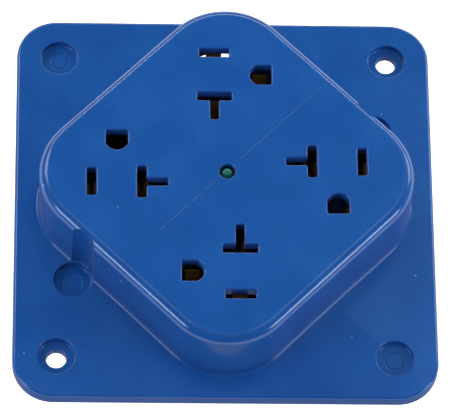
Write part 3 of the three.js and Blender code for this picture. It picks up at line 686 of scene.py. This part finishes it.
REAR_R = 38
REAR_FLAT = 34.5
REAR_WALL = 2.2
REAR_FLOOR = 2.4
REAR_TOP = REAR_HIGH.z
FLANGE_R = REAR_HIGH.x
FLANGE_FLAT = 38.6
FLANGE_THICK = 2.2
CHAMBER_BACK = 22
CHAMBER_TOP = 20
# Each terminal's angle about Z, the places of its clamps across that, and half its tab's width
TERMINALS = {"hot": (45, [-4.9, 4.9], 9.5), "neutral": (225, [-4.9, 4.9], 9.5), "ground": (315, [0], 4.6)}
TAB_FACE = 28
TAB_THICK = 1.6
TERMINAL_Z = 12


def flatted_ring(angles, radius, flat, z):
    """A ring of the round rear body, which has a flat on each diagonal."""
    return polar_ring(
        angles,
        lambda t: min(radius, flat / math.cos(t % (math.pi / 2) - math.pi / 4)),
        lambda x, y: z,
    )


def flatted_directions():
    wanted = [math.radians(2.5 * step) for step in range(36)]
    for radius, flat in ((REAR_R, REAR_FLAT), (FLANGE_R, FLANGE_FLAT)):
        turn = math.acos(flat / radius)
        wanted += [math.pi / 4 - turn, math.pi / 4 + turn]
    return [angle + math.pi / 2 * k for k in range(4) for angle in sorted(wanted)]


def rear_skin():
    """The rear body's outside: a rounded back edge, the wall, and the flange under the plate."""
    angles = flatted_directions()
    back_r, edge = 1, 0.3
    quarter = [math.pi / 2 * step / 5 for step in range(6)]
    sizes = [(-back_r * (1 - math.sin(t)), back_r * (1 - math.cos(t))) for t in quarter]
    under = REAR_TOP - FLANGE_THICK
    sizes += [(0, under - 0.6), (0.15, under - 0.18), (0.6, under)]
    rings = [flatted_ring(angles, REAR_R + out, REAR_FLAT + out, z) for out, z in sizes]
    sizes = [(-edge, under), (-edge * 0.3, under + edge * 0.3), (0, under + edge)]
    sizes += [(0, REAR_TOP - edge), (-edge * 0.3, REAR_TOP - edge * 0.3), (-edge, REAR_TOP)]
    rings += [flatted_ring(angles, FLANGE_R + out, FLANGE_FLAT + out, z) for out, z in sizes]
    return lofted(rings)


def rear_hollow():
    """The inside, less the screw posts and the terminal chambers' walls standing in it."""
    angles = flatted_directions()
    inner = (REAR_R - REAR_WALL, REAR_FLAT - REAR_WALL)
    hollow = lofted([flatted_ring(angles, *inner, REAR_FLOOR), flatted_ring(angles, *inner, REAR_TOP + 1)])
    wide, narrow = (circle(radius, 48, CASE_SCREW_OFFSET, SLOT_RADIUS) for radius in (4.8, 4.2))
    foot = lofted([level(wide, 0), level(narrow, 6)])
    posts = [spun(foot.copy(), -90 * k) for k in range(4)]
    boss = circle(BOSS_R, 48, CASE_SCREW_OFFSET, SLOT_RADIUS)
    posts += [prism(outline, 0, REAR_TOP + 2) for outline in pinwheel(boss)]
    walls = []
    for angle, _, half in TERMINALS.values():
        wall = half + 3.1
        box = block((CHAMBER_BACK - 1.6, REAR_FLAT - 1), (-wall, wall), (0, CHAMBER_TOP + 1.4))
        walls.append(spun(box, angle))
    return carved(hollow, *posts, *walls)


def chamber(angle, places, half):
    """A terminal's chamber, open at the back and side, with its ribs and the fin in a double one."""
    inside = half + 1.5
    rounding = rectangle(CHAMBER_BACK, FLANGE_R + 2, -inside, inside, 0.6, 4)
    mouth = [level(rounding, -1, 0.5), level(rounding, 0, 0.5), level(rounding, 0.5)]
    hollow = lofted(mouth + [level(rounding, CHAMBER_TOP)])
    ribs = [-inside + 0.6, inside - 0.6] + ([0] if len(places) > 1 else [])
    tab_back = TAB_FACE - TAB_THICK - GAP
    upright = (REAR_FLOOR, CHAMBER_TOP + 1)
    kept = [block((CHAMBER_BACK - 1, tab_back), (y - 0.6, y + 0.6), upright) for y in ribs]
    if len(places) > 1:
        kept.append(block((TAB_FACE + GAP, REAR_FLAT - 0.6), (-0.5, 0.5), (1, CHAMBER_TOP + 1)))
    return spun(carved(hollow, *kept), angle)


def rear_holes():
    """Case screw holes and counterbores, slots for the terminal tabs, and the mould's marks on the back."""
    holes = []
    for outline in pinwheel(circle(CASE_HOLE_R, 32, CASE_SCREW_OFFSET, SLOT_RADIUS)):
        holes.append(prism(outline, -1, REAR_TOP + 1))
    for outline in pinwheel(circle(3.1, 48, CASE_SCREW_OFFSET, SLOT_RADIUS)):
        flare = [level(outline, -1, 0.35), level(outline, 0, 0.35), level(outline, 0.35)]
        holes.append(lofted(flare + [level(outline, 2.8)]))
    for angle, _, half in TERMINALS.values():
        thick = (TAB_FACE - TAB_THICK - GAP, TAB_FACE + GAP)
        slot = block(thick, (-half - GAP, half + GAP), (CHAMBER_TOP - 1, CHAMBER_TOP + 2))
        holes.append(spun(slot, angle))
    pins = [(0, 0, 2.5), (-14, 14, 1.6), (14, -14, 1.6), (-21, 21, 1.6)]
    holes += [prism(circle(radius, 32, x, y), -1, 0.15) for x, y, radius in pins]
    groove = [level(rounded_square(11, 3, 6), z, out) for z, out in ((-1, 0.3), (0.02, 0.3), (0.35, 0.1))]
    ridge = [level(rounded_square(10.2, 2.4, 6), z, out) for z, out in ((-2, -0.3), (0.02, -0.1), (2, -0.1))]
    holes.append(spun(carved(lofted(groove), lofted(ridge)), 45))
    return holes


def rear_housing():
    chambers = [chamber(*terminal) for terminal in TERMINALS.values()]
    shell = carved(rear_skin(), rear_hollow(), *chambers, *rear_holes())
    piece("rear_body", shell, CHARCOAL, "dark_plastic", ["rear_housing"], "housing")


rear_housing()

# ---- Screws and clamps ----

OUTWARDS = Matrix(((0, 0, 1, 0), (1, 0, 0, 0), (0, 1, 0, 0), (0, 0, 0, 1)))  # Z to X, X to Y, Y to Z
SLOT_HALF = 0.5


def screw(head_r, head, shank_r, shank, pitch, thread, steps=40):
    """A pan-head screw along Z, head's underside at 0, with a helical thread on the end of its shank."""
    depth = shank_r * 0.14
    rows = int(thread / pitch * 8)
    rings = []
    for row in range(rows + 1):
        z = -shank + thread * row / rows
        taper = min(1, 0.72 + 0.28 * (z + shank) / pitch)
        fade = min(1, (thread - shank - z) / pitch)
        ring = []
        for step in range(steps):
            share = (z / pitch - step / steps) % 1
            radius = shank_r * taper - depth * fade * (1 - abs(2 * share - 1))
            angle = 2 * math.pi * step / steps
            ring.append(Vector((radius * math.cos(angle), radius * math.sin(angle), z)))
        rings.append(ring)
    profile = [(shank_r, -0.25), (shank_r + 0.2, 0)]
    profile += [(head_r - 0.15, 0), (head_r, 0.15), (head_r, head * 0.45)]
    for step in range(1, 7):
        turn = math.pi / 2 * step / 6
        profile.append((head_r * (0.62 + 0.38 * math.cos(turn)), head * (0.45 + 0.55 * math.sin(turn))))
    rings += [level(circle(radius, steps), z) for radius, z in profile]
    driver = block((-head_r - 1, head_r + 1), (-SLOT_HALF, SLOT_HALF), (head * 0.5, head + 1))
    return carved(lofted(rings), driver)


def clamp():
    """A captive wire clamp, its inner face at 0 and +Z outwards, with a serrated wire groove each side."""
    half_width, half_height, thick, edge = 3.8, 4.2, 1.4, 0.25
    outline = rectangle(-half_width, half_width, -half_height, half_height, 0.9, 6)
    levels = [(0, -edge), (edge * 0.3, -edge * 0.3), (edge, 0)]
    levels += [(thick - edge, 0), (thick - edge * 0.3, -edge * 0.3), (thick, -edge)]
    plate = lofted([level(outline, z, out) for z, out in levels])
    cutters = [prism(circle(2.4, 40), -1, thick + 1)]
    along = Matrix.Rotation(math.pi / 2, 4, "X")
    for side in (-1, 1):
        groove = prism(circle(0.6, 24), -half_height - 1, half_height + 1)
        cutters.append(placed(groove, Matrix.Translation((side * 3.1, 0, -0.3)) @ along))
        for step in range(-4, 5):
            tooth = prism(circle(0.22, 8), -0.75, 0.75)
            spin = Matrix.Rotation(math.pi / 2, 4, "Y")
            cutters.append(placed(tooth, Matrix.Translation((side * 3.1, step * 0.85, 0.02)) @ spin))
    return carved(plate, *cutters)


def terminals():
    finishes = {
        "hot": (BRASS_SCREW, "brass_screw"),
        "neutral": (NICKEL, "nickel"),
        "ground": (GREEN_SCREW, "green_screw"),
    }
    for name, (angle, places, _) in TERMINALS.items():
        for index, y in enumerate(places):
            suffix = f"_{index + 1}" if len(places) > 1 else ""
            place = Matrix.Translation((TAB_FACE + GAP, y, TERMINAL_Z))
            out = Matrix.Rotation(math.radians(angle), 4, "Z") @ place
            node = f"{name}_clamp{suffix}"
            piece(f"{node}_plate", placed(clamp(), out @ OUTWARDS), STEEL, "steel", [node], f"{node}_body")
            node = f"{name}_screw{suffix}"
            turn = Matrix.Rotation(math.radians(25 + 40 * index), 4, "Z")
            seat = Matrix.Translation((1.7, 0, 0))
            mesh = placed(screw(3.9, 1.8, 2.1, 7, 0.8, 6.2), out @ seat @ OUTWARDS @ turn)
            piece(f"{node}_threaded", mesh, *finishes[name], [node], f"{node}_body", 40)


def case_screws():
    down = Matrix.Translation((CASE_SCREW_OFFSET, SLOT_RADIUS, 2.5)) @ Matrix.Rotation(math.pi, 4, "X")
    for index, side in enumerate(SIDES):
        turn = Matrix.Rotation(math.radians(35 * index + 10), 4, "Z")
        mesh = spun(placed(screw(2.8, 2, 1.45, 33.2, 1.2, 14, 24), down @ turn), -90 * index)
        node = f"case_screw_{side}"
        piece(f"{node}_threaded", mesh, STEEL, "steel", [node], "housing", 40)


terminals()
case_screws()

# ---- Contacts, drawn for the top receptacle, and the lamp ----

BUS_TOP = CARRIER_TOP + 1.5
CONTACT_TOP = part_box("neutral_contact_top")[1].z / MM
HOT_CONTACT_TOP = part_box("hot_contact_top")[1].z / MM
LEAF_THICK = 0.6


def strip(path, low, high):
    """A bent metal strip along a path of (sideways, up) points, between two places across it."""
    points = [Vector(point) for point in path]
    left, right = [], []
    for k, point in enumerate(points):
        before = (point - points[max(k - 1, 0)]).normalized() if k else (points[1] - point).normalized()
        after = (points[min(k + 1, len(points) - 1)] - point).normalized() if k < len(points) - 1 else before
        normal = Vector((-(before + after).y, (before + after).x)).normalized()
        reach = LEAF_THICK / 2 / max(normal.dot(Vector((-after.y, after.x))), 0.5)
        left.append(point + normal * reach)
        right.append(point - normal * reach)
    return prism(rounded_outline(right + left[::-1], 0.22, 3), low, high)


def leaf_path(side, pinch, height):
    foot = LEAF_THICK / 2
    return [
        (side * pinch * 0.4, foot),
        (side * (pinch + 0.2), foot),
        (side * (pinch + 0.7), foot + 0.8),
        (side * (pinch + 0.4), height - 6),
        (side * pinch, height - 2.4),
        (side * (pinch + 0.9), height),
    ]


def along_x(mesh):
    """A strip's section set upright, its length along X."""
    return placed(mesh, OUTWARDS)


def along_y(mesh):
    return placed(mesh, Matrix.Rotation(math.pi / 2, 4, "X"))


def clip(pinch, height, low, high):
    """Two facing leaves in one bent strip."""
    return along_x(strip(leaf_path(-1, pinch, height)[:0:-1] + leaf_path(1, pinch, height)[1:], low, high))


def rivet(y):
    return prism(circle(1.1, 24, SLOT_OFFSET, y), BUS_TOP - 1.4, BUS_TOP + 0.3)


def hot_contact():
    blades = clip(0.95, HOT_CONTACT_TOP - BUS_TOP, -2, 2)
    return joined(placed(blades, Matrix.Translation((SLOT_OFFSET, HOT_Y, BUS_TOP))), rivet(HOT_Y))


def neutral_contact():
    height = CONTACT_TOP - BUS_TOP
    outer, inner = leaf_path(1, 0.95, height), leaf_path(-1, 0.95, height)
    pieces = [along_x(strip(outer, -3.4, 3.4))]
    pieces += [along_x(strip(inner, *ends)) for ends in ((-3.6, -1.8), (1.8, 3.6))]
    pieces += [along_y(strip(leaf_path(side, 0.95, height), 2.8, 6.4)) for side in (-1, 1)]
    base = prism(rectangle(-3.6, 3.6, -6.4, 1.2, 0.3), 0.03, LEAF_THICK - 0.03)
    whole = placed(joined(base, *pieces), Matrix.Translation((SLOT_OFFSET, NEUTRAL_Y, BUS_TOP)))
    return joined(whole, rivet(NEUTRAL_Y))


def ground_contact():
    bottom = CARRIER_TOP + GAP
    blades = clip(2.3, CONTACT_TOP - bottom, -1.9, 1.9)
    blades = placed(blades, Matrix.Translation((GROUND_OFFSET, SLOT_RADIUS, bottom)))
    across = (GROUND_OFFSET - 1.5, GROUND_OFFSET + 1.5)
    tail = block(across, (SLOT_RADIUS - 2.1, SLOT_RADIUS - 1.1), (REAR_TOP - 1.3, bottom + 0.3))
    return joined(blades, tail)


def contacts():
    for kind, mesh in (("hot", hot_contact()), ("neutral", neutral_contact()), ("ground", ground_contact())):
        for index, side in enumerate(SIDES):
            node = f"{kind}_contact_{side}"
            piece(f"{node}_strip", spun(mesh.copy(), -90 * index), BRASS, "brass", [node], "housing", 40)


def lamp_lens():
    foot, tip = CARRIER_TOP + GAP, FACE - 0.5
    profile = [(0, foot), (2.65, foot), (2.8, foot + 0.15), (2.8, foot + 1.25), (2.65, foot + 1.4)]
    profile += [(1.8, foot + 1.4), (1.58, foot + 1.5), (1.5, foot + 1.75), (1.5, tip - 0.9)]
    for step in range(1, 10):
        turn = math.pi / 2 * step / 10
        profile.append((1.5 * math.cos(turn), tip - 0.9 + 0.9 * math.sin(turn)))
    profile.append((0, tip))
    piece("lamp_lens", lathed(profile), GREEN_LENS, "green_lens", ["light_pipe"], "housing", 50)


contacts()
lamp_lens()

# ---- Inner pieces kept as the CAD drew them ----

KEPT = {
    "contact_carrier": BROWN,
    "hot_bus": BRASS,
    "neutral_bus": BRASS,
    "ground_bus": BRASS,
    "surge_board": LAMINATE,
    "mov_line_neutral": VARISTOR_COAT,
    "mov_line_ground": VARISTOR_COAT,
    "mov_neutral_ground": VARISTOR_COAT,
    "thermal_fuse_line": FUSE_COAT,
    "thermal_fuse_ground": FUSE_COAT,
    "led_resistor": RESISTOR_COAT,
    "led_diode": DIODE_COAT,
    "pilot_led": GREEN_LENS,
    "board_screw_1": STEEL,
    "board_screw_2": STEEL,
}
for name, material in KEPT.items():
    kept = frame["nodes"][name]
    kept.data.materials.clear()
    kept.data.materials.append(material)

# ---- Stage: floor, camera and lights ----

CAMERA_AIM = Vector((-0.0007, -0.0105, FACE * MM))
CAMERA_DISTANCE = 1.0
CAMERA_AZIMUTH = math.radians(4.95)
CAMERA_ELEVATION = math.radians(63.11)
CAMERA_ROLL = math.radians(4.98)
CAMERA_LENS = 317.5
BELOW = 0.18  # straight down, as a share of the floor's brightness out beyond the object
SKY = 0.042  # the upper half's brightness, as a share of the floor's
FLOOR_SHEEN = 1.9  # how bright the floor shows in reflections, out beyond the object


def floor():
    """A wide floor just under the object, drawn in metres, that only the camera sees."""
    half, under, thick = 3.0, 0.0002, 0.02
    ground = as_object("floor", prism(rounded_square(half, 0.5, 6), -under - thick, -under))
    material = bpy.data.materials.new("floor")
    material.use_nodes = True
    shader = material.node_tree.nodes["Principled BSDF"]
    shader.inputs["Base Color"].default_value = (0.9, 0.9, 0.9, 1)
    shader.inputs["Roughness"].default_value = 0.8
    shader.inputs["Emission Color"].default_value = (1, 1, 1, 1)
    shader.inputs["Emission Strength"].default_value = 0.9
    ground.data.materials.append(material)
    ground.visible_diffuse = False
    ground.visible_glossy = False


def camera():
    data = bpy.data.cameras.new("camera")
    data.lens = CAMERA_LENS
    data.sensor_width = 36
    data.clip_start, data.clip_end = 0.05, 20
    thing = bpy.data.objects.new("camera", data)
    bpy.context.scene.collection.objects.link(thing)
    level_out = math.cos(CAMERA_ELEVATION)
    look = Vector((
        math.sin(CAMERA_AZIMUTH) * level_out,
        math.cos(CAMERA_AZIMUTH) * level_out,
        -math.sin(CAMERA_ELEVATION),
    ))
    upright = look.to_track_quat("-Z", "Y").to_matrix().to_4x4()
    roll = Matrix.Rotation(CAMERA_ROLL, 4, "Z")
    thing.matrix_world = Matrix.Translation(CAMERA_AIM - look * CAMERA_DISTANCE) @ upright @ roll
    bpy.context.scene.camera = thing
    bpy.context.scene.view_settings.view_transform = "Standard"


def softbox(name, place, width, height, radiance, colour=(1, 1, 1), reflected=True):
    """A rectangular light that faces the origin. Its radiance is how bright a reflection of it is."""
    data = bpy.data.lights.new(name, "AREA")
    data.shape = "RECTANGLE"
    data.size, data.size_y = width, height
    data.energy = radiance * math.pi * width * height
    data.color = colour
    thing = bpy.data.objects.new(name, data)
    thing.visible_glossy = reflected
    bpy.context.scene.collection.objects.link(thing)
    facing = Vector(place).to_track_quat("Z", "Y").to_matrix().to_4x4()
    thing.matrix_world = Matrix.Translation(place) @ facing


def surroundings():
    """The world: dim above the horizon, with a bright band below it that stands for the floor."""
    world = bpy.data.worlds.new("studio")
    world.use_nodes = True
    nodes, links = world.node_tree.nodes, world.node_tree.links
    background = nodes["Background"]
    background.inputs["Color"].default_value = (0.9, 0.93, 1, 1)
    where = nodes.new("ShaderNodeTexCoord")
    split = nodes.new("ShaderNodeSeparateXYZ")
    links.new(where.outputs["Generated"], split.inputs["Vector"])
    strength = nodes.new("ShaderNodeFloatCurve")
    heights = nodes.new("ShaderNodeMapRange")
    heights.inputs["From Min"].default_value = -1
    links.new(split.outputs["Z"], heights.inputs["Value"])
    links.new(heights.outputs["Result"], strength.inputs["Value"])
    curve = strength.mapping.curves[0]
    for place, (height, share) in zip(curve.points, ((-1, BELOW), (1, SKY))):
        place.location = ((height + 1) / 2, share)
    for height, share in ((-0.6, BELOW), (-0.45, 1), (-0.12, 1), (0, SKY)):
        curve.points.new((height + 1) / 2, share)
    for place in curve.points:
        place.handle_type = "VECTOR"
    strength.mapping.update()
    sheen = nodes.new("ShaderNodeMath")
    sheen.operation = "MULTIPLY"
    sheen.inputs[1].default_value = FLOOR_SHEEN
    links.new(strength.outputs["Value"], sheen.inputs[0])
    links.new(sheen.outputs["Value"], background.inputs["Strength"])
    bpy.context.scene.world = world


def lights():
    """Three fills that reflections leave out, then the lights that the rims and faces mirror."""
    softbox("overhead_fill", (0, -0.06, 0.9), 0.5, 0.5, 2.6, reflected=False)
    softbox("left_fill", (-0.8, 0, 0.3), 0.3, 0.3, 2, reflected=False)
    softbox("right_fill", (0.8, -0.1, 0.3), 0.3, 0.3, 4, reflected=False)
    softbox("left_overhead", (-0.185, 0.085, 0.67), 0.15, 0.19, 1)
    softbox("right_overhead", (0.195, 0.085, 0.655), 0.15, 0.19, 1)
    softbox("right_panel", (0.29, 0.3, 0.6), 0.27, 0.4, 0.6, (0.45, 0.8, 1))
    softbox("near_left", (-0.57, -0.28, 0.33), 0.3, 0.2, 10, (0.65, 0.8, 1))
    softbox("near_right", (0.6, -0.26, 0.29), 0.3, 0.2, 10, (0.65, 0.8, 1))
    softbox("left_side", (-0.43, 0.33, 0.47), 0.25, 0.25, 5)
    softbox("right_side", (0.55, 0.33, 0.3), 0.25, 0.25, 5)
    softbox("far_panel", (0.03, 0.57, 0.34), 1.1, 0.12, 5)


floor()
camera()
surroundings()
lights()
